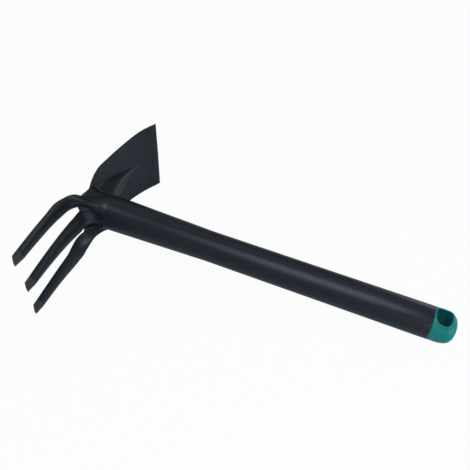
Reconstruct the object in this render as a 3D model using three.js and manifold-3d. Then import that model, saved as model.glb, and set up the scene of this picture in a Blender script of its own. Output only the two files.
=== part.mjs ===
// Hand double hoe. A strip of sheet steel is rolled into the handle tube and opens at the head into
// three arched tines. A pressed hoe blade with a half-cone socket stands on the other side of the
// head, welded into the open mouth of the tube. A plastic cap with a hang hole plugs the tube's end.
// The tool lies on its side: handle along X with the cap at +X, blade towards +Y, tines towards -Y.
import * as THREE from 'three';
import { mergeVertices } from 'three/addons/utils/BufferGeometryUtils.js';
import Module from 'manifold-3d';

const wasm = await Module();
wasm.setup();

// Sizes are in millimetres. Until the tool is laid down, x runs from the head to the cap and is zero
// at the seam between tube and cap, z runs from the tines to the blade, and y is square to both.

// Sheet and handle tube
const sheetThickness = 1.5;
const tubeDiameter = 28;
const fitGap = 0.3;
const joinDistance = 0.00001;

// The head end of the tube, measured from the cap seam: the tube widens from taperStart, and its
// sheet turns from bendStart into the tines and into the rim that meets the blade. Sizes named
// forward reach on from bendStart to the front of the head
const taperStart = 195;
const bendStart = 296;
const headDiameter = 33.6;
const bendArm = 11.5;
const rimHalf = 25;
const rimTop = 17.2;
const rimFoot = -15;
const shoulderForward = 21.6;
const shoulderHeadingShares = [-0.15, 0.75, -0.62];
const shoulderArm = 6.125;

// Tines
const middleForward = 21.75;
const outerForward = 22.7;
const forkRootDepth = 34;
const tineLength = 74;
const tipPointLength = 2.75;
const tipLean = 7.3;
const middleRootHalf = 10;
const middleTipHalf = 5.15;
const outerTineReach = 40.45;
const outerTineInside = 25.7;
const middleArch = 3.85;
const outerArch = 2.875;
const rootTwist = 4.2;
const innerArm = 13;
const outerArm = 24;
const grooveDepth = 4;
const ridgeRise = 6.1;
const bevelLength = 7;
const bevelDrop = 0.9;

// Hoe blade
const bladeForward = 24;
const bladeTop = 101.5;
const bladeTopHalf = 39.8;
const bladeLean = 16;
const edgeBow = 0.8;
const socketApex = 79;
const socketMouthHalf = 14.4;
const socketMouthLevel = 14;
const socketHeight = 17;
const socketFoot = 8;
const earFoot = -1;
const grindLength = 6;
const grindDrop = 0.8;

// Weld
const weldRadius = 1.5;
const weldStartShare = 0.3;
const weldSteps = 36;
const weldSides = 5;

// Cap
const capLength = 20.4;
const capEndRadius = 13.2;
const capRound = 7.8;
const capSideRadius = 13.8;
const capSeamRound = 1.15;
const spigotLength = 24;
const spigotWall = 2.2;
const hangHoleLength = 12.8;
const hangHoleHeight = 17;
const hangHoleFromSeam = 8.1;
const hangHoleLip = 1.6;

const tubeRadius = tubeDiameter / 2;
const bladeStandoff = bendStart + bladeForward;
const rimStandoff = bladeStandoff - sheetThickness - fitGap;
const shoulderStandoff = bendStart + shoulderForward;
const middleStandoff = bendStart + middleForward;
const outerStandoff = bendStart + outerForward;

const steel = new THREE.MeshStandardMaterial({ color: 0x2c3134, roughness: 0.42, metalness: 0.35 });
const plastic = new THREE.MeshStandardMaterial({ color: 0x14908f, roughness: 0.5, metalness: 0 });

const { clamp, lerp, smoothstep } = THREE.MathUtils;

// Smooth curve through hand-chosen shares; the first number of each pair runs from 0 to 1.
function shareCurve(pairs) {
  const last = pairs.length - 1;
  const slope = (i) => {
    const low = pairs[Math.max(i - 1, 0)];
    const high = pairs[Math.min(i + 1, last)];
    return (high[1] - low[1]) / (high[0] - low[0]);
  };
  return (at) => {
    let k = 0;
    while (k < last - 1 && at > pairs[k + 1][0]) k += 1;
    const [x0, y0] = pairs[k];
    const [x1, y1] = pairs[k + 1];
    const width = x1 - x0;
    const t = clamp((at - x0) / width, 0, 1);
    return y0 * (1 + 2 * t) * (1 - t) ** 2 + slope(k) * width * t * (1 - t) ** 2
      + y1 * (3 - 2 * t) * t ** 2 - slope(k + 1) * width * (1 - t) * t ** 2;
  };
}

// A closed solid from a grid of mid-surface points. keep(i, j) says which cells hold metal, and
// offsets(i, j) gives how far the solid reaches to both sides of each point; where it gives a shift
// too, the back of the solid is the point moved by that shift.
function formedSheet(points, keep, offsets, closed = false) {
  const columns = points.length;
  const rows = points[0].length;
  const cells = [];
  for (let i = 0; i < columns - 1; i += 1) {
    for (let j = 0; j < rows - 1; j += 1) if (keep(i, j)) cells.push([i, j]);
  }
  const normals = points.map((line) => line.map(() => new THREE.Vector3()));
  for (const [i, j] of cells) {
    const a = points[i][j];
    const across = new THREE.Vector3().subVectors(points[i + 1][j + 1], a);
    const back = new THREE.Vector3().subVectors(points[i][j + 1], points[i + 1][j]);
    const normal = new THREE.Vector3().crossVectors(across, back);
    for (const [k, l] of [[i, j], [i + 1, j], [i, j + 1], [i + 1, j + 1]]) normals[k][l].add(normal);
  }
  if (closed) {
    for (let j = 0; j < rows; j += 1) {
      normals[0][j].add(normals[columns - 1][j]);
      normals[columns - 1][j].copy(normals[0][j]);
    }
  }
  const positions = [];
  const at = (i, j, side) => 2 * (i * rows + j) + side;
  for (let i = 0; i < columns; i += 1) {
    for (let j = 0; j < rows; j += 1) {
      const normal = normals[i][j].normalize();
      const [front, back, shift] = offsets(i, j);
      const outer = points[i][j].clone().addScaledVector(normal, front);
      const inner = shift
        ? points[i][j].clone().add(shift)
        : points[i][j].clone().addScaledVector(normal, -back);
      positions.push(...outer, ...inner);
    }
  }
  const kept = (i, j) => {
    const column = closed ? (i + columns - 1) % (columns - 1) : i;
    return column >= 0 && j >= 0 && column < columns - 1 && j < rows - 1 && keep(column, j);
  };
  const index = [];
  const quad = (a, b, c, d) => index.push(a, b, c, a, c, d);
  for (const [i, j] of cells) {
    const corners = [[i, j], [i + 1, j], [i + 1, j + 1], [i, j + 1]];
    quad(...corners.map(([k, l]) => at(k, l, 0)));
    quad(...corners.map(([k, l]) => at(k, l, 1)).reverse());
    const sides = [[i, j - 1], [i + 1, j], [i, j + 1], [i - 1, j]];
    sides.forEach(([k, l], n) => {
      if (kept(k, l)) return;
      const [p, q] = [corners[n], corners[(n + 1) % 4]];
      quad(at(...q, 0), at(...p, 0), at(...p, 1), at(...q, 1));
    });
  }
  const geometry = new THREE.BufferGeometry();
  geometry.setAttribute('position', new THREE.Float32BufferAttribute(positions, 3));
  geometry.setIndex(index);
  return geometry;
}

function toSolid(geometry) {
  const bare = geometry.clone();
  bare.deleteAttribute('normal');
  bare.deleteAttribute('uv');
  const merged = mergeVertices(bare, joinDistance);
  return new wasm.Manifold(new wasm.Mesh({
    numProp: 3,
    vertProperties: Float32Array.from(merged.attributes.position.array),
    triVerts: Uint32Array.from(merged.index.array),
  }));
}

function toGeometry(solid) {
  const mesh = solid.getMesh();
  const geometry = new THREE.BufferGeometry();
  geometry.setAttribute('position', new THREE.BufferAttribute(mesh.vertProperties, 3));
  geometry.setIndex(new THREE.BufferAttribute(mesh.triVerts, 1));
  geometry.computeVertexNormals();
  return geometry;
}

// The biggest of the bodies that a cut leaves
function biggest(solid) {
  return solid.decompose().sort((a, b) => b.volume() - a.volume())[0];
}

// Tube and fork
// Round the tube, q runs from -4 over the side of the tines to 4, and both ends meet at the far
// side. The middle tine lies between -1 and 1, the outer tines between 2 and 3 on each side, and the
// metal from 1 to 2 is cut away below the crotch. Beyond 3 the tube ends in a flared rim.
const outerEdgeShares = shareCurve([[0, 0.96], [0.16, 1.0112], [0.34, 0.9862], [0.66, 0.954], [1, 0.925]]);
const innerEdgeShares = shareCurve([[0, 0.765], [0.1, 0.83], [0.2, 0.89], [0.5, 0.945], [1, 1]]);
const twistShares = shareCurve([[0, 1], [0.17, 0.345], [0.35, 0.26], [0.6, 0.125], [1, 0.05]]);
const archShares = shareCurve([[0, 1.4], [0.15, 1.15], [0.4, 1], [1, 1]]);
const rimWidthShares = shareCurve([
  [0, 1], [0.1, 0.972], [0.18, 0.928], [0.25, 0.84], [0.33, 0.72],
  [0.45, 0.64], [0.6, 0.54], [0.8, 0.32], [1, 0],
]);
const rimHeightShares = shareCurve([
  [0, 0], [0.1, 0.217], [0.18, 0.435], [0.25, 0.543], [0.33, 0.62],
  [0.45, 0.71], [0.6, 0.84], [0.8, 0.96], [1, 1],
]);
const rimLeaveShare = 0.45;
const rimArriveShare = 0.35;
const slopeShare = 0.01;

// Ridges and grooves of the bend: turning, opening and closing shares run along the bend, the others
// are places round it, given in q
const crotchShare = 0.7;
const ridgeTurnShares = [0.1, crotchShare];
const ridgeFootShares = [0.75, 2];
const ridgeOnset = 1.2;
const ridgeLeanShare = 0.6;
const grooveShares = [0.7, 1.08];
const grooveWidthShare = 0.5;
const grooveOpenShares = [0, 0.5];
const grooveCloseShares = [0.6, 0.95];
const crestShare = 0.12;

const edgeAngles = [0, 36, 56, 96, 180].map((degrees) => THREE.MathUtils.degToRad(degrees));

function tubeAngle(a) {
  const k = Math.min(Math.floor(a), 3);
  return lerp(edgeAngles[k], edgeAngles[k + 1], a - k);
}

// Radius of the tube's middle surface at x: straight, then opening towards the head
function middleRadius(x) {
  const share = clamp((-x - taperStart) / (bendStart - taperStart), 0, 1);
  return lerp(tubeDiameter, headDiameter, share) / 2 - sheetThickness / 2;
}

function tubePoint(q, x) {
  const angle = tubeAngle(Math.abs(q));
  const radius = middleRadius(x);
  return new THREE.Vector3(x, Math.sign(q) * radius * Math.sin(angle), -radius * Math.cos(angle));
}

// Point of the tines' middle surface at q and at a share of the tine's length below the root
function tinePoint(q, share) {
  const a = Math.abs(q);
  const middleHalf = lerp(middleRootHalf, middleTipHalf, share);
  const inside = outerTineInside * innerEdgeShares(share);
  const outside = outerTineReach * outerEdgeShares(share);
  const twist = rootTwist * twistShares(share);
  let y;
  let x;
  if (a <= 1) {
    y = a * middleHalf;
    x = -middleStandoff + middleArch * archShares(share) * (1 - a ** 2);
  } else if (a <= 2) {
    y = lerp(middleHalf, inside, a - 1);
    x = -lerp(middleStandoff, outerStandoff + twist / 2, smoothstep(a, 1, 2));
  } else {
    y = lerp(inside, outside, a - 2);
    x = -outerStandoff + lerp(-twist / 2, twist / 2, a - 2) + outerArch * (1 - (2 * a - 5) ** 2);
  }
  x += tipLean * Math.max(share, 0) ** 1.5;
  return new THREE.Vector3(x, Math.sign(q) * y, -forkRootDepth - tineLength * share);
}

// The fibre at q that leads from the tube round the bend into the tines
function bendCurve(q) {
  const start = tubePoint(q, -bendStart);
  const leave = start.clone();
  leave.x -= bendArm;
  const end = tinePoint(q, 0);
  const along = tinePoint(q, slopeShare).sub(end).normalize();
  const out = Math.abs(end.y) / outerTineReach;
  const arrive = end.clone().addScaledVector(along, -lerp(innerArm, outerArm, out));
  return new THREE.CubicBezierCurve3(start, leave, arrive, end);
}

// The rim where the flared end of the tube meets the blade
function rimPoint(q) {
  const share = Math.abs(q) - 3;
  const y = rimHalf * rimWidthShares(share);
  const z = lerp(rimFoot, rimTop, rimHeightShares(share));
  const x = -lerp(shoulderStandoff, rimStandoff, smoothstep(share, 0, 0.25));
  return new THREE.Vector3(x, Math.sign(q) * y, z);
}

// The fibre at q that leads from the tube to the rim
function rimCurve(q) {
  const start = tubePoint(q, -bendStart);
  const end = rimPoint(q);
  const length = start.x - end.x;
  const leave = start.clone();
  leave.x -= rimLeaveShare * length;
  const angle = tubeAngle(Math.abs(q));
  const side = Math.sign(q);
  const flare = new THREE.Vector3(-1, side * Math.sin(angle), -Math.cos(angle));
  const shoulder = new THREE.Vector3(...shoulderHeadingShares).multiply(new THREE.Vector3(1, side, 1));
  const heading = shoulder.lerp(flare, smoothstep(Math.abs(q), 3, 3.3)).normalize();
  const arrive = end.clone().addScaledVector(heading, -rimArriveShare * length);
  return new THREE.CubicBezierCurve3(start, leave, arrive, end);
}

// The outer edge of the outer tine: along the rim's fibre to the shoulder, then down into the tine
function edgePoint(side, t) {
  const toRim = rimCurve(3 * side);
  if (t <= 0.5) return toRim.getPoint(2 * t);
  const start = toRim.v3;
  const leave = start.clone().add(toRim.v3.clone().sub(toRim.v2));
  const end = tinePoint(3 * side, 0);
  const along = tinePoint(3 * side, slopeShare).sub(end).normalize();
  const arrive = end.clone().addScaledVector(along, -shoulderArm);
  return new THREE.CubicBezierCurve3(start, leave, arrive, end).getPoint(2 * t - 1);
}

// The depth of the grooves that part the tines: from the sharp crest of the middle tine at 0 down to
// a groove at 1 and up its outer wall
function grooveProfile(at) {
  if (at > 1) return 1 - smoothstep(at, 1, 1 + grooveWidthShare);
  const fall = (Math.hypot(at, crestShare) - crestShare) / (Math.hypot(1, crestShare) - crestShare);
  return Math.sin(fall * Math.PI / 2);
}

function bendPoint(q, t) {
  const a = Math.abs(q);
  if (a > 3) return rimCurve(q).getPoint(Math.min(2 * t, 1));
  const side = Math.sign(q);
  const turn = t * Math.PI / 2;
  const point = bendCurve(q).getPoint(t);
  if (a > 2) {
    const shift = edgePoint(side, t).sub(bendCurve(3 * side).getPoint(t));
    point.addScaledVector(shift, smoothstep(a, 2, 3));
  }
  const onward = smoothstep(t, ...ridgeTurnShares);
  const foot = lerp(...ridgeFootShares, onward);
  if (a > foot) {
    const inside = a < 2.5;
    const away = inside ? (2.5 - a) / (2.5 - foot) : 2 * a - 5;
    const profile = (1 - away ** 2) ** (inside ? 2 - onward : 1);
    const rise = ridgeRise * profile * Math.sin(Math.PI * t) ** ridgeOnset;
    const out = new THREE.Vector3(Math.sin(turn), ridgeLeanShare * side, -Math.cos(turn));
    point.addScaledVector(out.normalize(), rise);
  }
  const open = smoothstep(t, ...grooveOpenShares) * (1 - smoothstep(t, ...grooveCloseShares));
  const depth = grooveDepth * grooveProfile(a / lerp(...grooveShares, t)) * open;
  point.x -= depth * Math.sin(turn);
  point.z += depth * Math.cos(turn);
  return point;
}

const middleColumns = 10;
const stepColumns = 5;
const outerColumns = 8;
const rimColumns = 9;
const tubeRows = 3;
const bendRows = 20;
const rimRows = 10;
const tineRows = 14;

function forkColumns() {
  const half = [];
  for (let k = 1; k <= middleColumns / 2; k += 1) half.push(2 * k / middleColumns);
  for (let k = 1; k <= stepColumns; k += 1) half.push(1 + k / stepColumns);
  for (let k = 1; k <= outerColumns; k += 1) half.push(2 + k / outerColumns);
  for (let k = 1; k <= rimColumns; k += 1) half.push(3 + k / rimColumns);
  return [...half.slice().reverse(), 0, ...half.map((q) => -q)];
}

function forkGrid(columns) {
  const tubeStations = [0, -taperStart, -(taperStart + bendStart) / 2, -bendStart];
  return columns.map((q) => {
    const a = Math.abs(q);
    const c = a <= 1 ? a : clamp(2 * a - 5, -1, 1);
    const line = tubeStations.map((x) => tubePoint(q, x));
    for (let j = 1; j <= bendRows; j += 1) line.push(bendPoint(q, j / bendRows));
    for (let j = 1; j <= tineRows; j += 1) {
      const end = 1 - tipPointLength / tineLength * (a > 1 && a < 2 ? 0 : Math.abs(c));
      line.push(tinePoint(Math.min(a, 3) * Math.sign(q), end * j / tineRows));
    }
    return line;
  });
}

function forkSolid() {
  const columns = forkColumns();
  const crotchRow = tubeRows + Math.round(bendRows * crotchShare);
  const rimRow = tubeRows + bendRows / 2;
  const keep = (i, j) => {
    const a = Math.abs(columns[i] + columns[i + 1]) / 2;
    if (a > 1 && a < 2) return j < crotchRow;
    return a < 3 || j < rimRow;
  };
  const lastRow = tubeRows + bendRows + tineRows;
  const offsets = (i, j) => {
    const fromTip = (lastRow - j) / tineRows * tineLength;
    const bevel = bevelDrop * clamp(1 - fromTip / bevelLength, 0, 1);
    return [sheetThickness / 2 - bevel, sheetThickness / 2];
  };
  return toSolid(formedSheet(forkGrid(columns), keep, offsets, true));
}

// Hoe blade
const bladeHalfShares = shareCurve([
  [0, 0.52], [0.03, 0.555], [0.055, 0.632], [0.085, 0.69], [0.12, 0.76], [0.16, 0.8], [0.205, 0.84],
  [0.26, 0.85], [0.35, 0.86], [0.45, 0.885], [0.6, 0.918], [0.8, 0.971], [0.9, 0.99], [1, 1],
]);
const socketFilletShare = 0.12;
const footShares = [0.3, 0.55];
const socketBandShare = 1.25;
const bladeBandShares = [0.1, 0.8];
const bladeProfileShares = shareCurve([[0, 0], [0.3, 0.03], [0.5, 0.15], [0.7, 0.34], [0.85, 0.59], [1, 1]]);

// How far the socket's half-cone stands out of the blade at y and z: its crown is softened into the
// flat of the blade
function socketRise(y, z) {
  const open = Math.max(socketApex - z, 0) / (socketApex - socketMouthLevel);
  const crown = 1 - (y / Math.max(socketMouthHalf * open, sheetThickness / 10)) ** 2;
  const soft = (crown + Math.hypot(crown, socketFilletShare)) / 2;
  return socketHeight * open * soft / (1 + socketFilletShare / 4);
}

function bladeX(y, z) {
  const share = (z - earFoot) / (bladeTop - earFoot);
  return -bladeStandoff + bladeLean * bladeProfileShares(share) + socketRise(y, z);
}

const bladeColumns = 32;
const bladeRows = 26;

function bladeGrid() {
  const points = [];
  for (let i = 0; i <= bladeColumns; i += 1) {
    const c = 2 * i / bladeColumns - 1;
    const a = Math.abs(c);
    const foot = lerp(socketFoot, earFoot, smoothstep(a, ...footShares));
    const top = bladeTop + edgeBow * (1 - c ** 2);
    const line = [];
    for (let j = 0; j <= bladeRows; j += 1) {
      const z = lerp(foot, top, j / bladeRows);
      const half = bladeTopHalf * bladeHalfShares((z - earFoot) / (bladeTop - earFoot));
      const coneHalf = socketMouthHalf * (socketApex - z) / (socketApex - socketMouthLevel);
      const band = clamp(socketBandShare * coneHalf, bladeBandShares[0] * half, bladeBandShares[1] * half);
      const y = a < 0.5 ? 2 * a * band : lerp(band, half, 2 * a - 1);
      line.push(new THREE.Vector3(bladeX(y, z), Math.sign(c) * y, z));
    }
    points.push(line);
  }
  return points;
}

// The blade's sheet, made thicker by grow on both sides; the cutting edge is ground from the inside
function bladeSheet(grow) {
  const half = sheetThickness / 2 + grow;
  return toSolid(formedSheet(bladeGrid(), () => true, (i, j) => {
    const fromEdge = (bladeRows - j) / bladeRows * (bladeTop - earFoot);
    const ground = grindDrop * clamp(1 - fromEdge / grindLength, 0, 1);
    return [half - ground, half];
  }));
}

// The tube's head end to just past the rim, filled and grown, to clear the blade and the weld
function headFilled(grow) {
  const columns = forkColumns();
  const points = columns.map((q) => {
    const a = Math.abs(q);
    const line = [tubePoint(q, -(taperStart + bendStart) / 2)];
    for (let j = 0; j <= rimRows; j += 1) {
      const straight = tubePoint(q, -lerp(bendStart, rimStandoff, j / rimRows));
      line.push(a < 3 ? straight : rimCurve(q).getPoint(j / rimRows));
    }
    line.push(line[rimRows + 1].clone().setX(-rimStandoff - sheetThickness / 2));
    return line;
  });
  const reach = sheetThickness / 2 + grow;
  const toAxis = (i, j) => points[i][j].clone().multiply(new THREE.Vector3(0, -0.9, -0.9));
  return toSolid(formedSheet(points, () => true, (i, j) => [reach, 0, toAxis(i, j)], true));
}

function bladeSolid() {
  return biggest(bladeSheet(0).subtract(headFilled(fitGap)));
}

// Weld bead on the joint of tube and blade, from one shoulder over the socket's mouth to the other
function weldCurve() {
  const points = [];
  const steps = 16;
  for (let k = -steps; k <= steps; k += 1) {
    const q = Math.sign(k || 1) * lerp(4, weldStartShare + 3, Math.abs(k) / steps);
    const curve = rimCurve(q);
    let low = 0;
    let high = 1;
    for (let n = 0; n < 24; n += 1) {
      const middle = (low + high) / 2;
      const p = curve.getPoint(middle);
      if (p.x > bladeX(p.y, p.z)) low = middle;
      else high = middle;
    }
    const point = curve.getPoint(low);
    const outward = new THREE.Vector3(0, point.y, point.z).normalize();
    outward.x = 1;
    points.push(point.addScaledVector(outward, weldRadius / 2));
  }
  return new THREE.CatmullRomCurve3(points);
}

// Cap
function capProfile() {
  const boreRadius = tubeRadius - sheetThickness - fitGap;
  const profile = new THREE.Path();
  profile.moveTo(0, capLength);
  profile.lineTo(capEndRadius - capRound, capLength);
  profile.absarc(capEndRadius - capRound, capLength - capRound, capRound, Math.PI / 2, 0, true);
  profile.quadraticCurveTo(capSideRadius, capLength - 2 * capRound, tubeRadius, capSeamRound + fitGap);
  profile.absarc(tubeRadius - capSeamRound, capSeamRound + fitGap, capSeamRound, 0, -Math.PI / 2, true);
  profile.lineTo(boreRadius, fitGap);
  profile.lineTo(boreRadius, -spigotLength);
  profile.lineTo(boreRadius - spigotWall, -spigotLength);
  profile.lineTo(boreRadius - spigotWall, -spigotWall);
  profile.lineTo(0, -spigotWall);
  return profile.getPoints(6).reverse();
}

// The edge of the hang hole where it leaves the cap's side, on the side given by the sign
function holeEdge(side) {
  const points = [];
  const steps = 32;
  for (let k = 0; k < steps; k += 1) {
    const angle = 2 * Math.PI * k / steps;
    const x = hangHoleFromSeam + (hangHoleLength + hangHoleLip / 2) / 2 * Math.cos(angle);
    const z = (hangHoleHeight + hangHoleLip / 2) / 2 * Math.sin(angle);
    const radius = tubeRadius - hangHoleLip / 2;
    points.push(new THREE.Vector3(x, side * Math.sqrt(radius ** 2 - z ** 2), z));
  }
  return new THREE.CatmullRomCurve3(points, true);
}

function capSolid() {
  const turned = new THREE.LatheGeometry(capProfile(), 40);
  turned.rotateZ(-Math.PI / 2);
  const oval = new THREE.Shape();
  oval.absellipse(hangHoleFromSeam, 0, hangHoleLength / 2, hangHoleHeight / 2, 0, 2 * Math.PI);
  const drilling = { depth: 4 * tubeRadius, bevelEnabled: false, curveSegments: 16 };
  const hole = new THREE.ExtrudeGeometry(oval, drilling);
  hole.translate(0, 0, -2 * tubeRadius);
  hole.rotateX(Math.PI / 2);
  let solid = toSolid(turned);
  for (const side of [-1, 1]) {
    const lip = new THREE.TubeGeometry(holeEdge(side), 32, hangHoleLip / 2, 6, true);
    solid = solid.add(toSolid(lip));
  }
  return solid.subtract(toSolid(hole));
}

// A round bar along the joint, cut clear of the blade and the tube
function weldSolid() {
  const section = new THREE.Shape();
  section.absarc(0, 0, weldRadius, 0, 2 * Math.PI);
  const bead = new THREE.ExtrudeGeometry(section, {
    extrudePath: weldCurve(), steps: weldSteps, curveSegments: weldSides, bevelEnabled: false,
  });
  return biggest(toSolid(bead).subtract(headFilled(fitGap)).subtract(bladeSheet(fitGap)));
}

const tool = new THREE.Group();

function addPiece(name, solid, material) {
  const mesh = new THREE.Mesh(toGeometry(solid), material);
  mesh.name = name;
  tool.add(mesh);
  return mesh;
}

const fork = addPiece('handle_and_fork', forkSolid(), steel);
const blade = addPiece('hoe_blade', bladeSolid(), steel);
addPiece('head_weld', weldSolid(), steel);
const cap = addPiece('end_cap', capSolid(), plastic);

// The tool lies on its side on three points: the lowest of the blade, of the tines and of the handle
function restingTurn(groups) {
  const turn = new THREE.Quaternion().setFromAxisAngle(new THREE.Vector3(1, 0, 0), -Math.PI / 2);
  const up = new THREE.Vector3(0, 0, 1);
  for (let n = 0; n < 8; n += 1) {
    const [a, b, c] = groups.map((points) => {
      const placed = points.map((p) => p.clone().applyQuaternion(turn));
      return placed.reduce((low, p) => (p.z < low.z ? p : low));
    });
    const normal = b.sub(a).cross(c.sub(a)).normalize();
    if (normal.z < 0) normal.negate();
    turn.premultiply(new THREE.Quaternion().setFromUnitVectors(normal, up));
  }
  return turn;
}

function pointsOf(meshes, wanted) {
  return meshes.flatMap((mesh) => {
    const places = mesh.geometry.attributes.position;
    const points = [];
    for (let i = 0; i < places.count; i += 1) points.push(new THREE.Vector3().fromBufferAttribute(places, i));
    return points.filter(wanted);
  });
}

tool.quaternion.copy(restingTurn([
  pointsOf([blade], () => true),
  pointsOf([fork], (p) => p.z < -tubeDiameter),
  pointsOf([fork, cap], (p) => p.z > -tubeDiameter && p.x > -taperStart),
]));
const box = new THREE.Box3().setFromObject(tool, true);
const centre = box.getCenter(new THREE.Vector3());
tool.position.set(-centre.x, -centre.y, -box.min.z);

const part = new THREE.Group();
part.add(tool);
export default part;
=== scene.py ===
import math

import bmesh
import bpy
import numpy as np
from mathutils import Matrix, Quaternion, Vector, kdtree


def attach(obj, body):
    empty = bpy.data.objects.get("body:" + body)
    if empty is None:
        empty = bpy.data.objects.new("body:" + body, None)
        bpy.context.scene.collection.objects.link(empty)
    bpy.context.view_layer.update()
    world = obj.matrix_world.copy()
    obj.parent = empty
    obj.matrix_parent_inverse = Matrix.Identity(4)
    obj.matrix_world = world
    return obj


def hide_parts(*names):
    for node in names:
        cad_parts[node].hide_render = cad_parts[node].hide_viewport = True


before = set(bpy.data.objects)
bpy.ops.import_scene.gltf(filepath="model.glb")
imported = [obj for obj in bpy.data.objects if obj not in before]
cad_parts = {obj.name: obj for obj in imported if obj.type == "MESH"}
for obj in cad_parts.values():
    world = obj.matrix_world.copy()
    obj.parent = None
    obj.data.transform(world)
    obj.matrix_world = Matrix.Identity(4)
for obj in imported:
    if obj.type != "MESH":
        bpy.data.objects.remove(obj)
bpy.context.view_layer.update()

# Camera: place and axes in the frame, found by fitting the photograph's perspective
cameraLook = {
    "place": (0.0897, -0.2533, 0.3228),
    "right": (0.92657, 0.37584, -0.01471),
    "up": (-0.25151, 0.64818, 0.71876),
    "focalPixels": 450,
    "imagePixels": 470,
    "sensor": 36,
    "nearest": 0.01,
}


def makeCamera(look):
    data = bpy.data.cameras.new("camera")
    data.sensor_width = look["sensor"]
    data.lens = look["sensor"] * look["focalPixels"] / look["imagePixels"]
    data.clip_start = look["nearest"]
    camera = bpy.data.objects.new("camera", data)
    bpy.context.scene.collection.objects.link(camera)
    right = Vector(look["right"]).normalized()
    back = right.cross(Vector(look["up"])).normalized()
    up = back.cross(right)
    turn = Matrix((right, up, back)).transposed()
    camera.matrix_world = Matrix.Translation(look["place"]) @ turn.to_4x4()
    bpy.context.scene.camera = camera


makeCamera(cameraLook)
print("stage: camera")

# Floor, world and lamps
studio = {
    "floorSize": 12.0,
    "floorDrop": 0.0002,           # keeps the floor clear of the tool's lowest points
    "floorColor": (0.65, 0.7, 0.74),
    "floorGlow": 0.955,            # share of plain white that the camera sees on the floor
    "worldLight": 0.22,            # the camera itself sees plain white
    "lampColor": (0.935, 0.98, 1.035),
}
lamps = {
    "keyLamp": {"place": (0.21, -0.36, 1.02), "aim": (0.07, 0.0, 0.02), "size": (0.86, 0.7), "power": 5.8},
    "sideLamp": {"place": (1.1, -0.5, 0.19), "aim": (-0.1, 0.0, 0.03), "size": (0.9, 0.27), "power": 4.7},
    "frontLamp": {"place": (0.05, -1.4, 0.6), "aim": (0.0, 0.0, 0.02), "size": (2.0, 0.9), "power": 1.75},
    "backLamp": {"place": (0.0, 0.75, 1.45), "aim": (0.0, 0.0, 0.0), "size": (2.2, 0.9), "power": 2.4},
    "lowLamp": {"place": (0.9, 1.0, 0.16), "aim": (-0.1, 0.0, 0.03), "size": (1.15, 0.26), "power": 2.3},
}


def newMaterial(name):
    material = bpy.data.materials.new(name)
    material.use_nodes = True
    tree = material.node_tree
    tree.nodes.clear()
    return material, tree


def addNode(tree, kind, **settings):
    node = tree.nodes.new(kind)
    for key, value in settings.items():
        setattr(node, key, value)
    return node


def floorMaterial():
    material, tree = newMaterial("paleFloor")
    paint = addNode(tree, "ShaderNodeBsdfDiffuse")
    paint.inputs["Color"].default_value = (*studio["floorColor"], 1)
    white = addNode(tree, "ShaderNodeEmission")
    white.inputs["Strength"].default_value = 1
    share = addNode(tree, "ShaderNodeMath", operation="MULTIPLY")
    share.inputs[1].default_value = studio["floorGlow"]
    mix = addNode(tree, "ShaderNodeMixShader")
    out = addNode(tree, "ShaderNodeOutputMaterial")
    path = addNode(tree, "ShaderNodeLightPath")
    tree.links.new(path.outputs["Is Camera Ray"], share.inputs[0])
    tree.links.new(share.outputs[0], mix.inputs[0])
    tree.links.new(paint.outputs[0], mix.inputs[1])
    tree.links.new(white.outputs[0], mix.inputs[2])
    tree.links.new(mix.outputs[0], out.inputs["Surface"])
    return material


def makeFloor():
    bpy.ops.mesh.primitive_plane_add(size=studio["floorSize"], location=(0, 0, -studio["floorDrop"]))
    floor = bpy.context.object
    floor.name = "floor"
    floor.data.materials.append(floorMaterial())


def makeWorld():
    world = bpy.data.worlds.new("studio")
    bpy.context.scene.world = world
    world.use_nodes = True
    tree = world.node_tree
    tree.nodes.clear()
    glow = addNode(tree, "ShaderNodeBackground")
    mix = addNode(tree, "ShaderNodeMix", data_type="FLOAT")
    out = addNode(tree, "ShaderNodeOutputWorld")
    path = addNode(tree, "ShaderNodeLightPath")
    glow.inputs["Color"].default_value = (1, 1, 1, 1)
    mix.inputs[2].default_value = studio["worldLight"]
    mix.inputs[3].default_value = 1
    tree.links.new(path.outputs["Is Camera Ray"], mix.inputs[0])
    tree.links.new(mix.outputs[0], glow.inputs["Strength"])
    tree.links.new(glow.outputs[0], out.inputs["Surface"])


def makeLamp(name, look):
    data = bpy.data.lights.new(name, "AREA")
    data.shape = "RECTANGLE"
    data.size, data.size_y = look["size"]
    data.energy = look["power"]
    data.color = studio["lampColor"]
    lamp = bpy.data.objects.new(name, data)
    bpy.context.scene.collection.objects.link(lamp)
    lamp.location = look["place"]
    heading = Vector(look["aim"]) - lamp.location
    lamp.rotation_euler = heading.to_track_quat("-Z", "Y").to_euler()


makeFloor()
makeWorld()
for name, look in lamps.items():
    makeLamp(name, look)
print("stage: floor, world and lamps")

# The tool's own sizes are in millimetres: x runs from the head to the cap and is zero at the seam of tube
# and cap, z runs from the tines to the blade. This turn and place lay it on the floor as the frame has it
mm = 0.001
toolLay = {
    "turn": (0.7057017, -0.7073383, 0.0287897, 0.0287882),
    "place": (150.7081, 2.789, 15.1658),
}
sheet = {
    "thickness": 1.5,
    "edgeRound": 0.45,
    "leastEdge": 0.3,
    "leastLength": 1e-12,
    "tubeDiameter": 28,
    "fitGap": 0.3,
}
layMatrix = (Matrix.Translation(Vector(toolLay["place"]) * mm)
             @ Quaternion(toolLay["turn"]).to_matrix().to_4x4() @ Matrix.Scale(mm, 4))

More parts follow.
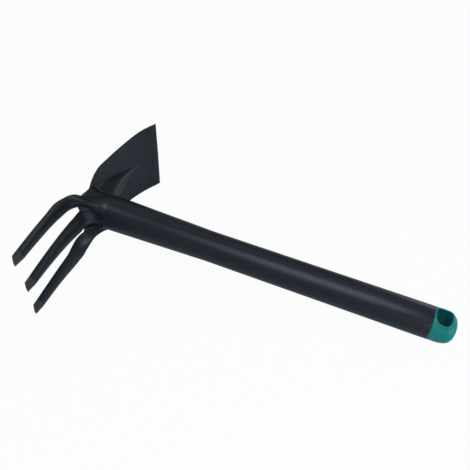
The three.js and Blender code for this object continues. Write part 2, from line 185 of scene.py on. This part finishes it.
# Satin powder coat on the steel: slow patches of tone, orange peel, a fine grain, and a painted highlight on
# the tine tips, a paler tone that stands in for the light on their ground facets
coat = {
    "color": (0.0045, 0.0062, 0.0092),
    "colorOther": (0.0062, 0.0082, 0.0118),
    "roughness": (0.33, 0.41),
    "specular": 0.46,
    "specularTint": (0.78, 0.87, 1.0),
    "patchScale": 18, "peelScale": 420, "grainScale": 2600,
    "peelDepth": 0.00003, "grainDepth": 0.00001, "bumpStrength": 0.5,
    # painted highlight: a paler tone on the tine tips, from the start given here along the tool's z axis
    "tipHighlightTone": (0.026, 0.03, 0.035), "tipHighlightFrom": -98.2, "tipHighlightSoft": 0.8,
}
# Moulded plastic of the cap: faint clouds of tone and a fine matt grain
plastic = {
    "color": (0.0, 0.176, 0.174),
    "colorOther": (0.0, 0.2, 0.197),
    "roughness": (0.34, 0.44),
    "specular": 0.3,
    "patchScale": 60, "peelScale": 700, "grainScale": 3200,
    "peelDepth": 0.00002, "grainDepth": 0.000012, "bumpStrength": 0.45,
}
finishNoise = {"patchDetail": 5, "peelDetail": 1, "grainDetail": 2, "peelRange": (0.3, 0.7)}
colourA, colourB, colourMixed = 6, 7, 2        # colour sockets of a Mix node


def noiseOf(tree, place, scale, detail):
    noise = addNode(tree, "ShaderNodeTexNoise")
    noise.inputs["Scale"].default_value = scale
    noise.inputs["Detail"].default_value = detail
    tree.links.new(place.outputs["Object"], noise.inputs["Vector"])
    return noise.outputs["Fac"]


def bumpOf(tree, height, strength, depth, before=None):
    bump = addNode(tree, "ShaderNodeBump")
    bump.inputs["Strength"].default_value = strength
    bump.inputs["Distance"].default_value = depth
    tree.links.new(height, bump.inputs["Height"])
    if before:
        tree.links.new(before, bump.inputs["Normal"])
    return bump.outputs[0]


def tipHighlightMask(tree, place, look):  # 1 beyond the start of the painted tip highlight, read along the tool's own z axis
    axis = layMatrix.to_3x3().normalized() @ Vector((0, 0, 1))
    start = axis.dot(layMatrix.translation) + look["tipHighlightFrom"] * mm
    along = addNode(tree, "ShaderNodeVectorMath", operation="DOT_PRODUCT")
    along.inputs[1].default_value = axis
    mask = addNode(tree, "ShaderNodeMapRange")
    mask.inputs["From Min"].default_value = start
    mask.inputs["From Max"].default_value = start - look["tipHighlightSoft"] * mm
    tree.links.new(place.outputs["Object"], along.inputs[0])
    tree.links.new(along.outputs["Value"], mask.inputs["Value"])
    return mask.outputs[0]


def finish(name, look):
    material, tree = newMaterial(name)
    shader = addNode(tree, "ShaderNodeBsdfPrincipled")
    out = addNode(tree, "ShaderNodeOutputMaterial")
    place = addNode(tree, "ShaderNodeTexCoord")
    patches = noiseOf(tree, place, look["patchScale"], finishNoise["patchDetail"])
    peel = noiseOf(tree, place, look["peelScale"], finishNoise["peelDetail"])
    grain = noiseOf(tree, place, look["grainScale"], finishNoise["grainDetail"])
    tone = addNode(tree, "ShaderNodeMix", data_type="RGBA")
    tone.inputs[colourA].default_value = (*look["color"], 1)
    tone.inputs[colourB].default_value = (*look["colorOther"], 1)
    dull = addNode(tree, "ShaderNodeMapRange")
    dull.inputs["From Min"].default_value, dull.inputs["From Max"].default_value = finishNoise["peelRange"]
    dull.inputs["To Min"].default_value, dull.inputs["To Max"].default_value = look["roughness"]
    tree.links.new(patches, tone.inputs[0])
    tree.links.new(peel, dull.inputs["Value"])
    colour = tone.outputs[colourMixed]
    # Painted highlight: the tine tips get a paler tone that stands in for the light on their ground facets
    if "tipHighlightTone" in look:
        ground = addNode(tree, "ShaderNodeMix", data_type="RGBA")
        ground.inputs[colourB].default_value = (*look["tipHighlightTone"], 1)
        tree.links.new(tipHighlightMask(tree, place, look), ground.inputs[0])
        tree.links.new(colour, ground.inputs[colourA])
        colour = ground.outputs[colourMixed]
    tree.links.new(colour, shader.inputs["Base Color"])
    tree.links.new(dull.outputs[0], shader.inputs["Roughness"])
    wavy = bumpOf(tree, peel, look["bumpStrength"], look["peelDepth"])
    fine = bumpOf(tree, grain, look["bumpStrength"], look["grainDepth"], wavy)
    tree.links.new(fine, shader.inputs["Normal"])
    shader.inputs["Specular IOR Level"].default_value = look["specular"]
    if "specularTint" in look:
        shader.inputs["Specular Tint"].default_value = (*look["specularTint"], 1)
    tree.links.new(shader.outputs[0], out.inputs["Surface"])
    return material


satinCoat, capPlastic = finish("satinCoat", coat), finish("capPlastic", plastic)
print("stage: finishes")


def clamp(value, low, high):
    return max(low, min(high, value))


def lerp(a, b, share):
    return a + (b - a) * share


def smoothstep(value, low, high):
    share = clamp((value - low) / (high - low), 0, 1)
    return share * share * (3 - 2 * share)


def bezier(points, t):
    a, b, c, d = points
    s = 1 - t
    return a * s ** 3 + b * (3 * s * s * t) + c * (3 * s * t * t) + d * t ** 3


def shareCurve(pairs):  # smooth curve through pairs of shares
    last = len(pairs) - 1

    def slope(i):
        low, high = pairs[max(i - 1, 0)], pairs[min(i + 1, last)]
        return (high[1] - low[1]) / (high[0] - low[0])

    def curve(at):
        k = 0
        while k < last - 1 and at > pairs[k + 1][0]:
            k += 1
        (x0, y0), (x1, y1) = pairs[k], pairs[k + 1]
        width = x1 - x0
        t = clamp((at - x0) / width, 0, 1)
        return (y0 * (1 + 2 * t) * (1 - t) ** 2 + slope(k) * width * t * (1 - t) ** 2
                + y1 * (3 - 2 * t) * t ** 2 - slope(k + 1) * width * (1 - t) * t ** 2)
    return curve


def spread(low, high, count, close=(0.012, 0.04, 0.09)):  # even steps with close ones at both ends
    steps = {low + (high - low) * k / count for k in range(count + 1)}
    steps |= {lerp(low, high, share) for share in close} | {lerp(high, low, share) for share in close}
    return sorted(steps)


def newPiece(name, vertices, faces, material, slot=None):
    mesh = bpy.data.meshes.new(name)
    mesh.from_pydata([layMatrix @ Vector(v) for v in vertices], [], faces)
    return pieceFromMesh(name, mesh, material, slot)


def pieceFromMesh(name, mesh, material, slot=None):
    mesh.materials.clear()
    mesh.materials.append(material)
    piece = bpy.data.objects.new(name, mesh)
    bpy.context.scene.collection.objects.link(piece)
    if slot:
        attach(piece, "root")
    return piece


def smoothShade(mesh, angle):
    mesh.polygons.foreach_set("use_smooth", [True] * len(mesh.polygons))
    mesh.set_sharp_from_angle(angle=math.radians(angle))


# A closed solid from a grid of mid-surface points. keep(i, j) says which cells hold metal, reach(i, j)
# how far the two faces stand off, and the sheet thins along its free edges so that they look rounded
def formedSheet(points, keep, reach, closed=False, core=None):
    grid = np.array([[tuple(p) for p in line] for line in points])
    columns, rows = grid.shape[:2]
    span = columns - 1 if closed else columns
    kept = np.array([[keep(i, j) for j in range(rows - 1)] for i in range(columns - 1)])
    across = grid[1:, 1:] - grid[:-1, :-1]
    back = grid[:-1, 1:] - grid[1:, :-1]
    cellNormals = np.cross(across, back) * kept[:, :, None]
    normals = np.zeros_like(grid)
    for di in (0, 1):
        for dj in (0, 1):
            normals[di:columns - 1 + di, dj:rows - 1 + dj] += cellNormals
    if closed:
        normals[0] += normals[-1]
        normals[-1] = normals[0]
    normals /= np.maximum(np.linalg.norm(normals, axis=2, keepdims=True), sheet["leastLength"])

    def holds(i, j):
        column = (i + columns - 1) % (columns - 1) if closed else i
        return 0 <= column < columns - 1 and 0 <= j < rows - 1 and kept[column, j]

    def at(corner, side):
        return 2 * ((corner[0] % span) * rows + corner[1]) + side

    faces, rim = [], set()
    for i in range(columns - 1):
        for j in range(rows - 1):
            if not kept[i, j]:
                continue
            corners = [(i, j), (i + 1, j), (i + 1, j + 1), (i, j + 1)]
            faces.append([at(c, 0) for c in corners])
            faces.append([at(c, 1) for c in reversed(corners)])
            for n, (k, l) in enumerate([(i, j - 1), (i + 1, j), (i, j + 1), (i - 1, j)]):
                if holds(k, l):
                    continue
                p, q = corners[n], corners[(n + 1) % 4]
                faces.append([at(q, 0), at(p, 0), at(p, 1), at(q, 1)])
                rim |= {p, q}
    tree = kdtree.KDTree(max(len(rim), 1))
    for n, corner in enumerate(sorted(rim)):
        tree.insert(grid[corner], n)
    tree.balance()
    vertices = []
    for i in range(span):
        for j in range(rows):
            front, behind = reach(i, j)
            if core is None:
                away = clamp(1 - tree.find(grid[i, j])[2] / sheet["edgeRound"], 0, 1)
                thin = sheet["edgeRound"] * (1 - math.sqrt(1 - away * away))
                thin = min(thin, (front + behind - sheet["leastEdge"]) / 2)
                inner = grid[i, j] - normals[i, j] * (behind - thin)
            else:
                thin = 0
                inner = core[i][j]
            vertices += [grid[i, j] + normals[i, j] * (front - thin), inner]
    used = sorted({v for face in faces for v in face})
    order = {v: n for n, v in enumerate(used)}
    return [vertices[v] for v in used], [[order[v] for v in face] for face in faces]


# Handle tube and fork in one sheet. Round the tube, q runs from -4 over the tines' side to 4: the middle
# tine lies between -1 and 1, the outer ones between 2 and 3 on each side, the flared rim beyond 3
fork = {
    "taperStart": 195, "bendStart": 296, "headDiameter": 33.6, "bendArm": 11.5,
    "rimHalf": 25, "rimTop": 17.2, "rimFoot": -15, "rimStandoff": 318.2,
    "shoulderStandoff": 317.6, "shoulderHeading": (-0.15, 0.75, -0.62), "shoulderArm": 6.125,
    "middleStandoff": 317.75, "outerStandoff": 318.7, "rootDepth": 34, "tineLength": 74,
    "tipPointLength": 3.4, "tipRound": 2.6, "tipLean": 7.3, "middleRootHalf": 10, "middleTipHalf": 5.15,
    "outerReach": 40.45, "outerInside": 25.7, "middleArch": 3.85, "outerArch": 2.875,
    "rootTwist": 4.2, "innerArm": 13, "outerArm": 24, "bevelLength": 9.5, "bevelDrop": 1.15,
    "grooveDepth": 4, "groove": (0.7, 1.08), "grooveWidth": 0.5, "crestRound": 0.12,
    "grooveOpen": (0, 0.5), "grooveClose": (0.6, 0.95),
    "ridgeRise": 6.1, "ridgeOnset": 1.2, "ridgeFoot": (0.75, 2),
    "rimLeave": 0.45, "rimArrive": 0.35, "crotch": 0.7,
    "ridgeStart": 0.1, "ridgeMiddle": 2.5, "ridgeLean": 0.6, "shoulderShare": 0.25, "flareEnd": 3.3,
    "headingStep": 0.01, "columnCounts": (16, 16, 16, 24), "leastColumn": 0.03,
    "tubeStations": (0, 0.15, 0.5, 65, 130, 195, 245, 296),
    "bendRows": 60, "tineRows": 40, "firstRow": 0.01, "closeRows": (0.002, 0.006), "bevelRound": 0.003,
    "creaseAngle": 58,
}
outerEdgeShares = shareCurve([(0, 0.96), (0.16, 1.0112), (0.34, 0.9862), (0.66, 0.954), (1, 0.925)])
innerEdgeShares = shareCurve([(0, 0.765), (0.1, 0.83), (0.2, 0.89), (0.5, 0.945), (1, 1)])
twistShares = shareCurve([(0, 1), (0.17, 0.345), (0.35, 0.26), (0.6, 0.125), (1, 0.05)])
archShares = shareCurve([(0, 1.4), (0.15, 1.15), (0.4, 1), (1, 1)])
rimWidthShares = shareCurve([(0, 1), (0.1, 0.972), (0.18, 0.928), (0.25, 0.84), (0.33, 0.72),
                             (0.45, 0.64), (0.6, 0.54), (0.8, 0.32), (1, 0)])
rimHeightShares = shareCurve([(0, 0), (0.1, 0.217), (0.18, 0.435), (0.25, 0.543), (0.33, 0.62),
                              (0.45, 0.71), (0.6, 0.84), (0.8, 0.96), (1, 1)])
edgeAngles = [math.radians(a) for a in (0, 36, 56, 96, 180)]


def sign(q):
    return (q > 0) - (q < 0)


def tubeAngle(a):
    k = min(int(a), 3)
    return lerp(edgeAngles[k], edgeAngles[k + 1], a - k)


def middleRadius(x):
    share = clamp((-x - fork["taperStart"]) / (fork["bendStart"] - fork["taperStart"]), 0, 1)
    return lerp(sheet["tubeDiameter"], fork["headDiameter"], share) / 2 - sheet["thickness"] / 2


def tubePoint(q, x):
    angle, radius = tubeAngle(abs(q)), middleRadius(x)
    return Vector((x, sign(q) * radius * math.sin(angle), -radius * math.cos(angle)))


def tinePoint(q, share):
    a = abs(q)
    middleHalf = lerp(fork["middleRootHalf"], fork["middleTipHalf"], share)
    inside = fork["outerInside"] * innerEdgeShares(share)
    outside = fork["outerReach"] * outerEdgeShares(share)
    twist = fork["rootTwist"] * twistShares(share)
    if a <= 1:
        y = a * middleHalf
        x = -fork["middleStandoff"] + fork["middleArch"] * archShares(share) * (1 - a ** 2)
    elif a <= 2:
        y = lerp(middleHalf, inside, a - 1)
        x = -lerp(fork["middleStandoff"], fork["outerStandoff"] + twist / 2, smoothstep(a, 1, 2))
    else:
        y = lerp(inside, outside, a - 2)
        x = -fork["outerStandoff"] + lerp(-twist / 2, twist / 2, a - 2)
        x += fork["outerArch"] * (1 - (2 * (a - fork["ridgeMiddle"])) ** 2)
    x += fork["tipLean"] * max(share, 0) ** 1.5
    return Vector((x, sign(q) * y, -fork["rootDepth"] - fork["tineLength"] * share))


def tineHeading(q):
    return (tinePoint(q, fork["headingStep"]) - tinePoint(q, 0)).normalized()


def bendCurve(q):
    start, end = tubePoint(q, -fork["bendStart"]), tinePoint(q, 0)
    leave = start - Vector((fork["bendArm"], 0, 0))
    out = abs(end.y) / fork["outerReach"]
    return start, leave, end - tineHeading(q) * lerp(fork["innerArm"], fork["outerArm"], out), end


def rimPoint(q):
    share = abs(q) - 3
    x = -lerp(fork["shoulderStandoff"], fork["rimStandoff"], smoothstep(share, 0, fork["shoulderShare"]))
    z = lerp(fork["rimFoot"], fork["rimTop"], rimHeightShares(share))
    return Vector((x, sign(q) * fork["rimHalf"] * rimWidthShares(share), z))


def rimCurve(q):
    start, end, side = tubePoint(q, -fork["bendStart"]), rimPoint(q), sign(q)
    length = start.x - end.x
    leave = start - Vector((fork["rimLeave"] * length, 0, 0))
    angle = tubeAngle(abs(q))
    flare = Vector((-1, side * math.sin(angle), -math.cos(angle)))
    x, y, z = fork["shoulderHeading"]
    heading = Vector((x, side * y, z)).lerp(flare, smoothstep(abs(q), 3, fork["flareEnd"])).normalized()
    return start, leave, end - heading * (fork["rimArrive"] * length), end


def edgePoint(side, t):  # outer edge of the outer tine, over the shoulder
    toRim = rimCurve(3 * side)
    if t <= 0.5:
        return bezier(toRim, 2 * t)
    end = tinePoint(3 * side, 0)
    arrive = end - tineHeading(3 * side) * fork["shoulderArm"]
    return bezier((toRim[3], toRim[3] * 2 - toRim[2], arrive, end), 2 * t - 1)


def grooveProfile(at):  # from the middle tine's crest at 0 down to a groove at 1 and up its outer wall
    if at > 1:
        return 1 - smoothstep(at, 1, 1 + fork["grooveWidth"])
    crest = fork["crestRound"]
    fall = (math.hypot(at, crest) - crest) / (math.hypot(1, crest) - crest)
    return math.sin(fall * math.pi / 2)


def bendPoint(q, t):
    a, side, middle = abs(q), sign(q), fork["ridgeMiddle"]
    if a > 3:
        return bezier(rimCurve(q), min(2 * t, 1))
    point = bezier(bendCurve(q), t)
    turn = t * math.pi / 2
    if a > 2:
        shift = edgePoint(side, t) - bezier(bendCurve(3 * side), t)
        point += shift * smoothstep(a, 2, 3)
    onward = smoothstep(t, fork["ridgeStart"], fork["crotch"])
    foot = lerp(*fork["ridgeFoot"], onward)
    if a > foot:
        away = (middle - a) / (middle - foot) if a < middle else 2 * (a - middle)
        profile = (1 - away * away) ** (2 - onward if a < middle else 1)
        rise = fork["ridgeRise"] * profile * math.sin(math.pi * t) ** fork["ridgeOnset"]
        point += Vector((math.sin(turn), fork["ridgeLean"] * side, -math.cos(turn))).normalized() * rise
    opening = smoothstep(t, *fork["grooveOpen"]) * (1 - smoothstep(t, *fork["grooveClose"]))
    depth = fork["grooveDepth"] * grooveProfile(a / lerp(*fork["groove"], t)) * opening
    return point + Vector((-math.sin(turn), 0, math.cos(turn))) * depth


def forkColumns():
    half = sorted({a for low, count in enumerate(fork["columnCounts"]) for a in spread(low, low + 1, count)})
    half = [a for a in half if a > fork["leastColumn"]]
    return [*reversed(half), 0, *[-a for a in half]]


def makeHandleAndFork(material):
    columns = forkColumns()
    bendRows, tineRows = fork["bendRows"], fork["tineRows"]
    bevelShare = 1 - fork["bevelLength"] / fork["tineLength"]
    bevelRound = fork["bevelRound"]
    tineShares = sorted([s for s in spread(0, 1, tineRows, fork["closeRows"]) if s > fork["firstRow"]]
                        + [bevelShare - bevelRound, bevelShare, bevelShare + bevelRound])
    points = []
    for q in columns:
        a = abs(q)
        across = a if a <= 1 else clamp(2 * (a - fork["ridgeMiddle"]), -1, 1)
        line = [tubePoint(q, -x) for x in fork["tubeStations"]]
        line += [bendPoint(q, j / bendRows) for j in range(1, bendRows + 1)]
        nose = 0 if 1 < a < 2 else abs(across) ** fork["tipRound"]
        point = fork["tipPointLength"] / fork["tineLength"] * nose
        line += [tinePoint(min(a, 3) * sign(q), (1 - point) * s) for s in tineShares]
        points.append(line)
    firstBend = len(fork["tubeStations"]) - 1
    crotchRow = firstBend + round(bendRows * fork["crotch"])
    rimRow = firstBend + bendRows // 2
    firstTine = firstBend + bendRows

    def keep(i, j):
        a = abs(columns[i] + columns[i + 1]) / 2
        if 1 < a < 2:
            return j < crotchRow
        return a < 3 or j < rimRow

    def reach(i, j):
        half = sheet["thickness"] / 2
        if j <= firstTine:
            return half, half
        fromTip = (1 - tineShares[j - firstTine - 1]) * fork["tineLength"]
        return half - fork["bevelDrop"] * clamp(1 - fromTip / fork["bevelLength"], 0, 1), half

    vertices, faces = formedSheet(points, keep, reach, closed=True)
    piece = newPiece("handleAndFork", vertices, faces, material, "coated_steel")
    smoothShade(piece.data, fork["creaseAngle"])
    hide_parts("handle_and_fork")
    return piece


# Pressed hoe blade with its half-cone socket. The cone's section is a parabola at the mouth and gets fuller
# above it, and its height runs out softly to the apex
blade = {
    "standoff": 320, "top": 101.5, "topHalf": 39.8, "lean": 16, "edgeBow": 0.8,
    "socketApex": 77, "socketHalf": 14.4, "socketLevel": 14, "socketHeight": 17, "socketFoot": 8,
    "earFoot": -1, "grindLength": 6, "grindDrop": 0.8, "socketFillet": 0.12,
    "socketRunOut": 1.3, "socketFullness": 0.65, "fullerAbove": (16, 34),
    "footShares": (0.3, 0.55), "socketBand": 1.25, "bandShares": (0.1, 0.8),
    "trimGap": 0.1, "trimRows": 24, "trimCore": 0.1,
    "columns": 72, "leastColumn": 0.005, "closeColumns": (0.004, 0.014),
    "rows": 64, "closeRows": (0.0015, 0.006), "creaseAngle": 40,
}
bladeHalfShares = shareCurve([(0, 0.52), (0.03, 0.555), (0.055, 0.632), (0.085, 0.69), (0.12, 0.76),
                              (0.16, 0.8), (0.205, 0.84), (0.26, 0.85), (0.35, 0.86), (0.45, 0.885),
                              (0.6, 0.918), (0.8, 0.971), (0.9, 0.99), (1, 1)])
bladeProfileShares = shareCurve([(0, 0), (0.3, 0.03), (0.5, 0.15), (0.7, 0.34), (0.85, 0.59), (1, 1)])


def socketOpening(z):
    return (blade["socketApex"] - z) / (blade["socketApex"] - blade["socketLevel"])


def socketRise(y, z):
    opening = max(socketOpening(z), 0)
    crown = 1 - (y / max(blade["socketHalf"] * opening, sheet["thickness"] / 10)) ** 2
    fullness = lerp(1, blade["socketFullness"], smoothstep(z, *blade["fullerAbove"]))
    crown = math.copysign(abs(crown) ** fullness, crown)
    fillet = blade["socketFillet"]
    soft = (crown + math.hypot(crown, fillet)) / 2
    return blade["socketHeight"] * opening ** blade["socketRunOut"] * soft / (1 + fillet / 4)


def bladeX(y, z):
    share = (z - blade["earFoot"]) / (blade["top"] - blade["earFoot"])
    return -blade["standoff"] + blade["lean"] * bladeProfileShares(share) + socketRise(y, z)


def bladeGrid(columnShares, rowShares):
    points = []
    foot, tall = blade["earFoot"], blade["top"] - blade["earFoot"]
    for c in columnShares:
        a = abs(c)
        low = lerp(blade["socketFoot"], foot, smoothstep(a, *blade["footShares"]))
        top = blade["top"] + blade["edgeBow"] * (1 - c ** 2)
        line = []
        for share in rowShares:
            z = lerp(low, top, share)
            half = blade["topHalf"] * bladeHalfShares((z - foot) / tall)
            least, most = (s * half for s in blade["bandShares"])
            coneHalf = blade["socketHalf"] * socketOpening(z)
            band = clamp(blade["socketBand"] * coneHalf, least, most)
            y = 2 * a * band if a < 0.5 else lerp(band, half, 2 * a - 1)
            line.append(Vector((bladeX(y, z), sign(c) * y, z)))
        points.append(line)
    return points


def headFilled(grow):  # the tube's head up to its rim, filled, to trim the blade's foot
    columns = forkColumns()
    halfway = (fork["taperStart"] + fork["bendStart"]) / 2
    rows = blade["trimRows"]
    points = []
    for q in columns:
        line = [tubePoint(q, -halfway)]
        for j in range(rows + 1):
            straight = tubePoint(q, -lerp(fork["bendStart"], fork["rimStandoff"], j / rows))
            line.append(straight if abs(q) < 3 else bezier(rimCurve(q), j / rows))
        last = line[-1].copy()
        last.x = -fork["rimStandoff"] - sheet["thickness"] / 2
        line.append(last)
        points.append(line)
    slim = blade["trimCore"]
    core = [[Vector((p.x, slim * p.y, slim * p.z)) for p in line] for line in points]
    reach = sheet["thickness"] / 2 + grow
    return formedSheet(points, lambda i, j: True, lambda i, j: (reach, 0), closed=True, core=core)


def trimmed(piece, cutter, operation="DIFFERENCE"):  # the piece's mesh after the cut or join
    step = piece.modifiers.new("step", "BOOLEAN")
    step.operation = operation
    step.solver = "MANIFOLD"
    step.object = cutter
    bpy.context.view_layer.update()
    result = bpy.data.meshes.new_from_object(piece.evaluated_get(bpy.context.evaluated_depsgraph_get()))
    bpy.data.objects.remove(cutter)
    bpy.data.objects.remove(piece)
    return result


def biggestPart(mesh):
    work = bmesh.new()
    work.from_mesh(mesh)
    left, parts = set(work.verts), []
    while left:
        part, edge = set(), [left.pop()]
        while edge:
            vertex = edge.pop()
            part.add(vertex)
            for link in vertex.link_edges:
                other = link.other_vert(vertex)
                if other in left:
                    left.remove(other)
                    edge.append(other)
        parts.append(part)
    parts.sort(key=len)
    bmesh.ops.delete(work, geom=[v for part in parts[:-1] for v in part], context="VERTS")
    work.to_mesh(mesh)
    work.free()
    return len(parts)


def makeHoeBlade(material):
    half = spread(0, 1, blade["columns"] // 2, blade["closeColumns"])
    half = [c for c in half if c > blade["leastColumn"]]
    columnShares = [*[-c for c in reversed(half)], 0, *half]
    rowShares = spread(0, 1, blade["rows"], blade["closeRows"])
    points = bladeGrid(columnShares, rowShares)

    def reach(i, j):
        fromEdge = (1 - rowShares[j]) * (blade["top"] - blade["earFoot"])
        ground = blade["grindDrop"] * clamp(1 - fromEdge / blade["grindLength"], 0, 1)
        return sheet["thickness"] / 2 - ground, sheet["thickness"] / 2

    whole = newPiece("bladeBlank", *formedSheet(points, lambda i, j: True, reach), material)
    cutter = newPiece("bladeTrim", *headFilled(blade["trimGap"]), material)
    mesh = trimmed(whole, cutter)
    mesh.name = "hoeBlade"
    print("blade parts after the trim:", biggestPart(mesh))
    piece = pieceFromMesh("hoeBlade", mesh, material, "coated_steel")
    smoothShade(piece.data, blade["creaseAngle"])
    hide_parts("hoe_blade")
    return piece


# Weld bead over the socket's mouth, from shoulder to shoulder
weld = {
    "radius": 1.5, "endRadius": 0.5, "taper": 0.16, "start": 0.3, "steps": 320, "sides": 16,
    "rippleCount": 52, "ripple": 0.07, "rippleShape": 0.5, "even": 9, "searchSteps": 24,
    "tipSteps": 6, "leastTip": 0.02, "creaseAngle": 60,
}


def weldPoint(share):
    q = (1 if share >= 0 else -1) * lerp(4, weld["start"] + 3, abs(share))
    curve = rimCurve(q)
    low, high = 0, 1
    for _ in range(weld["searchSteps"]):
        middle = (low + high) / 2
        p = bezier(curve, middle)
        if p.x > bladeX(p.y, p.z):
            low = middle
        else:
            high = middle
    point = bezier(curve, low)
    outward = Vector((0, point.y, point.z)).normalized()
    return point + (outward + Vector((1, 0, 0))) * (weld["radius"] / 2)


def sweep(path, radii, sides, closed=False):  # round bar along a path
    count = len(path)
    vertices, faces = [], []
    side = Vector((1, 0, 0))
    for n, point in enumerate(path):
        after = path[(n + 1) % count] if closed else path[min(n + 1, count - 1)]
        before = path[n - 1] if closed else path[max(n - 1, 0)]
        along = (after - before).normalized()
        side = (side - along * side.dot(along)).normalized()
        other = along.cross(side)
        for k in range(sides):
            angle = 2 * math.pi * k / sides
            vertices.append(point + (side * math.cos(angle) + other * math.sin(angle)) * radii[n])
    for n in range(count if closed else count - 1):
        for k in range(sides):
            a, b = n * sides, ((n + 1) % count) * sides
            faces.append([a + k, a + (k + 1) % sides, b + (k + 1) % sides, b + k])
    if not closed:
        faces += [list(reversed(range(sides))), [(count - 1) * sides + k for k in range(sides)]]
    return vertices, faces


def makeHeadWeld(material):
    steps, even = weld["steps"], weld["even"]
    raw = [weldPoint(2 * n / steps - 1) for n in range(steps + 1)]
    path, radii = [], []
    for n in range(steps + 1):
        near = raw[max(n - even, 0):n + even + 1]
        path.append(sum(near, Vector()) / len(near))
        share = n / steps
        fromEnd = min(share, 1 - share)
        body = lerp(weld["endRadius"], weld["radius"], smoothstep(fromEnd, 0, weld["taper"]))
        wave = abs(math.sin(math.pi * weld["rippleCount"] * share)) ** weld["rippleShape"]
        tip = math.sqrt(clamp(fromEnd * steps / weld["tipSteps"], weld["leastTip"], 1))
        radii.append(body * tip * (1 - weld["ripple"] * (1 - wave)))
    piece = newPiece("headWeld", *sweep(path, radii, weld["sides"]), material, "coated_steel")
    smoothShade(piece.data, weld["creaseAngle"])
    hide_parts("head_weld")
    return piece


# Moulded cap with its oval hang hole
cap = {
    "length": 20.4, "endRadius": 13.2, "round": 7.8, "sideRadius": 13.8, "seamRound": 1.15,
    "spigotLength": 24, "spigotWall": 2.2, "holeLength": 12.1, "holeHeight": 16.4, "holeFromSeam": 8.25,
    "holeSquare": 0.68, "holeLip": 1.5, "lipStep": 0.9, "turns": 112, "arcSteps": 12,
    "holeSides": 96, "lipSides": 14, "creaseAngle": 35,
}


def capProfile():  # pairs of radius and place along the axis
    tubeRadius = sheet["tubeDiameter"] / 2
    bore = tubeRadius - sheet["thickness"] - sheet["fitGap"]
    steps = cap["arcSteps"]
    flat, shoulder = cap["endRadius"] - cap["round"], cap["length"] - cap["round"]
    seam = cap["seamRound"] + sheet["fitGap"]
    profile = [(0, cap["length"])]
    for k in range(steps + 1):
        angle = math.pi / 2 * (1 - k / steps)
        profile.append((flat + cap["round"] * math.cos(angle), shoulder + cap["round"] * math.sin(angle)))
    start, middle, end = ((cap["endRadius"], shoulder),
                          (cap["sideRadius"], cap["length"] - 2 * cap["round"]), (tubeRadius, seam))
    for k in range(1, steps + 1):
        t = k / steps
        profile.append(tuple((1 - t) ** 2 * a + 2 * t * (1 - t) * b + t * t * c
                             for a, b, c in zip(start, middle, end)))
    for k in range(1, steps // 2 + 1):
        angle = -math.pi / 2 * k / (steps // 2)
        profile.append((tubeRadius - cap["seamRound"] * (1 - math.cos(angle)),
                        seam + cap["seamRound"] * math.sin(angle)))
    inner = bore - cap["spigotWall"]
    return profile + [(bore, sheet["fitGap"]), (bore, -cap["spigotLength"]), (inner, -cap["spigotLength"]),
                      (inner, -cap["spigotWall"]), (0, -cap["spigotWall"])]


def turnedSolid(profile, turns):
    vertices, faces, rings = [], [], []
    for radius, x in profile:
        if radius == 0:
            rings.append([len(vertices)] * turns)
            vertices.append(Vector((x, 0, 0)))
            continue
        rings.append(list(range(len(vertices), len(vertices) + turns)))
        for k in range(turns):
            angle = 2 * math.pi * k / turns
            vertices.append(Vector((x, radius * math.cos(angle), radius * math.sin(angle))))
    for low, high in zip(rings, rings[1:]):
        for k in range(turns):
            corners = [low[k], high[k], high[(k + 1) % turns], low[(k + 1) % turns]]
            faces.append(list(dict.fromkeys(corners)))
    return vertices, faces


def holeRing(radiusX, radiusZ, count):  # oval with fuller corners than an ellipse
    def bulge(value):
        return math.copysign(abs(value) ** cap["holeSquare"], value)

    angles = [2 * math.pi * (k + 0.5) / count for k in range(count)]
    middle = cap["holeFromSeam"]
    return [(middle + radiusX * bulge(math.cos(a)), radiusZ * bulge(math.sin(a))) for a in angles]


def makeEndCap(material):
    body = newPiece("capBlank", *turnedSolid(capProfile(), cap["turns"]), material)
    tubeRadius, lip, count = sheet["tubeDiameter"] / 2, cap["holeLip"], cap["holeSides"]
    lipHalf = [(cap[size] + cap["lipStep"] * lip) / 2 for size in ("holeLength", "holeHeight")]
    for side in (-1, 1):
        path = []
        for x, z in holeRing(*lipHalf, count):
            radius = tubeRadius - lip / 2
            path.append(Vector((x, side * math.sqrt(radius ** 2 - z ** 2), z)))
        ring = newPiece("lipRing", *sweep(path, [lip / 2] * count, cap["lipSides"], closed=True), material)
        mesh = trimmed(body, ring, "UNION")
        body = pieceFromMesh("capBlank", mesh, material)
    half = holeRing(cap["holeLength"] / 2, cap["holeHeight"] / 2, count)
    vertices = [Vector((x, side * 2 * tubeRadius, z)) for side in (-1, 1) for x, z in half]
    faces = [[k, count + k, count + (k + 1) % count, (k + 1) % count] for k in range(count)]
    faces += [list(range(count)), list(reversed(range(count, 2 * count)))]
    drill = newPiece("holeDrill", vertices, faces, material)
    mesh = trimmed(body, drill)
    mesh.name = "endCap"
    piece = pieceFromMesh("endCap", mesh, material, "cap_plastic")
    smoothShade(piece.data, cap["creaseAngle"])
    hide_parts("end_cap")
    return piece


for make, material in ((makeHandleAndFork, satinCoat), (makeHoeBlade, satinCoat),
                       (makeHeadWeld, satinCoat), (makeEndCap, capPlastic)):
    made = make(material)
    print("stage: made", made.name, len(made.data.polygons), "faces")

bpy.context.scene.view_settings.view_transform = "Standard"
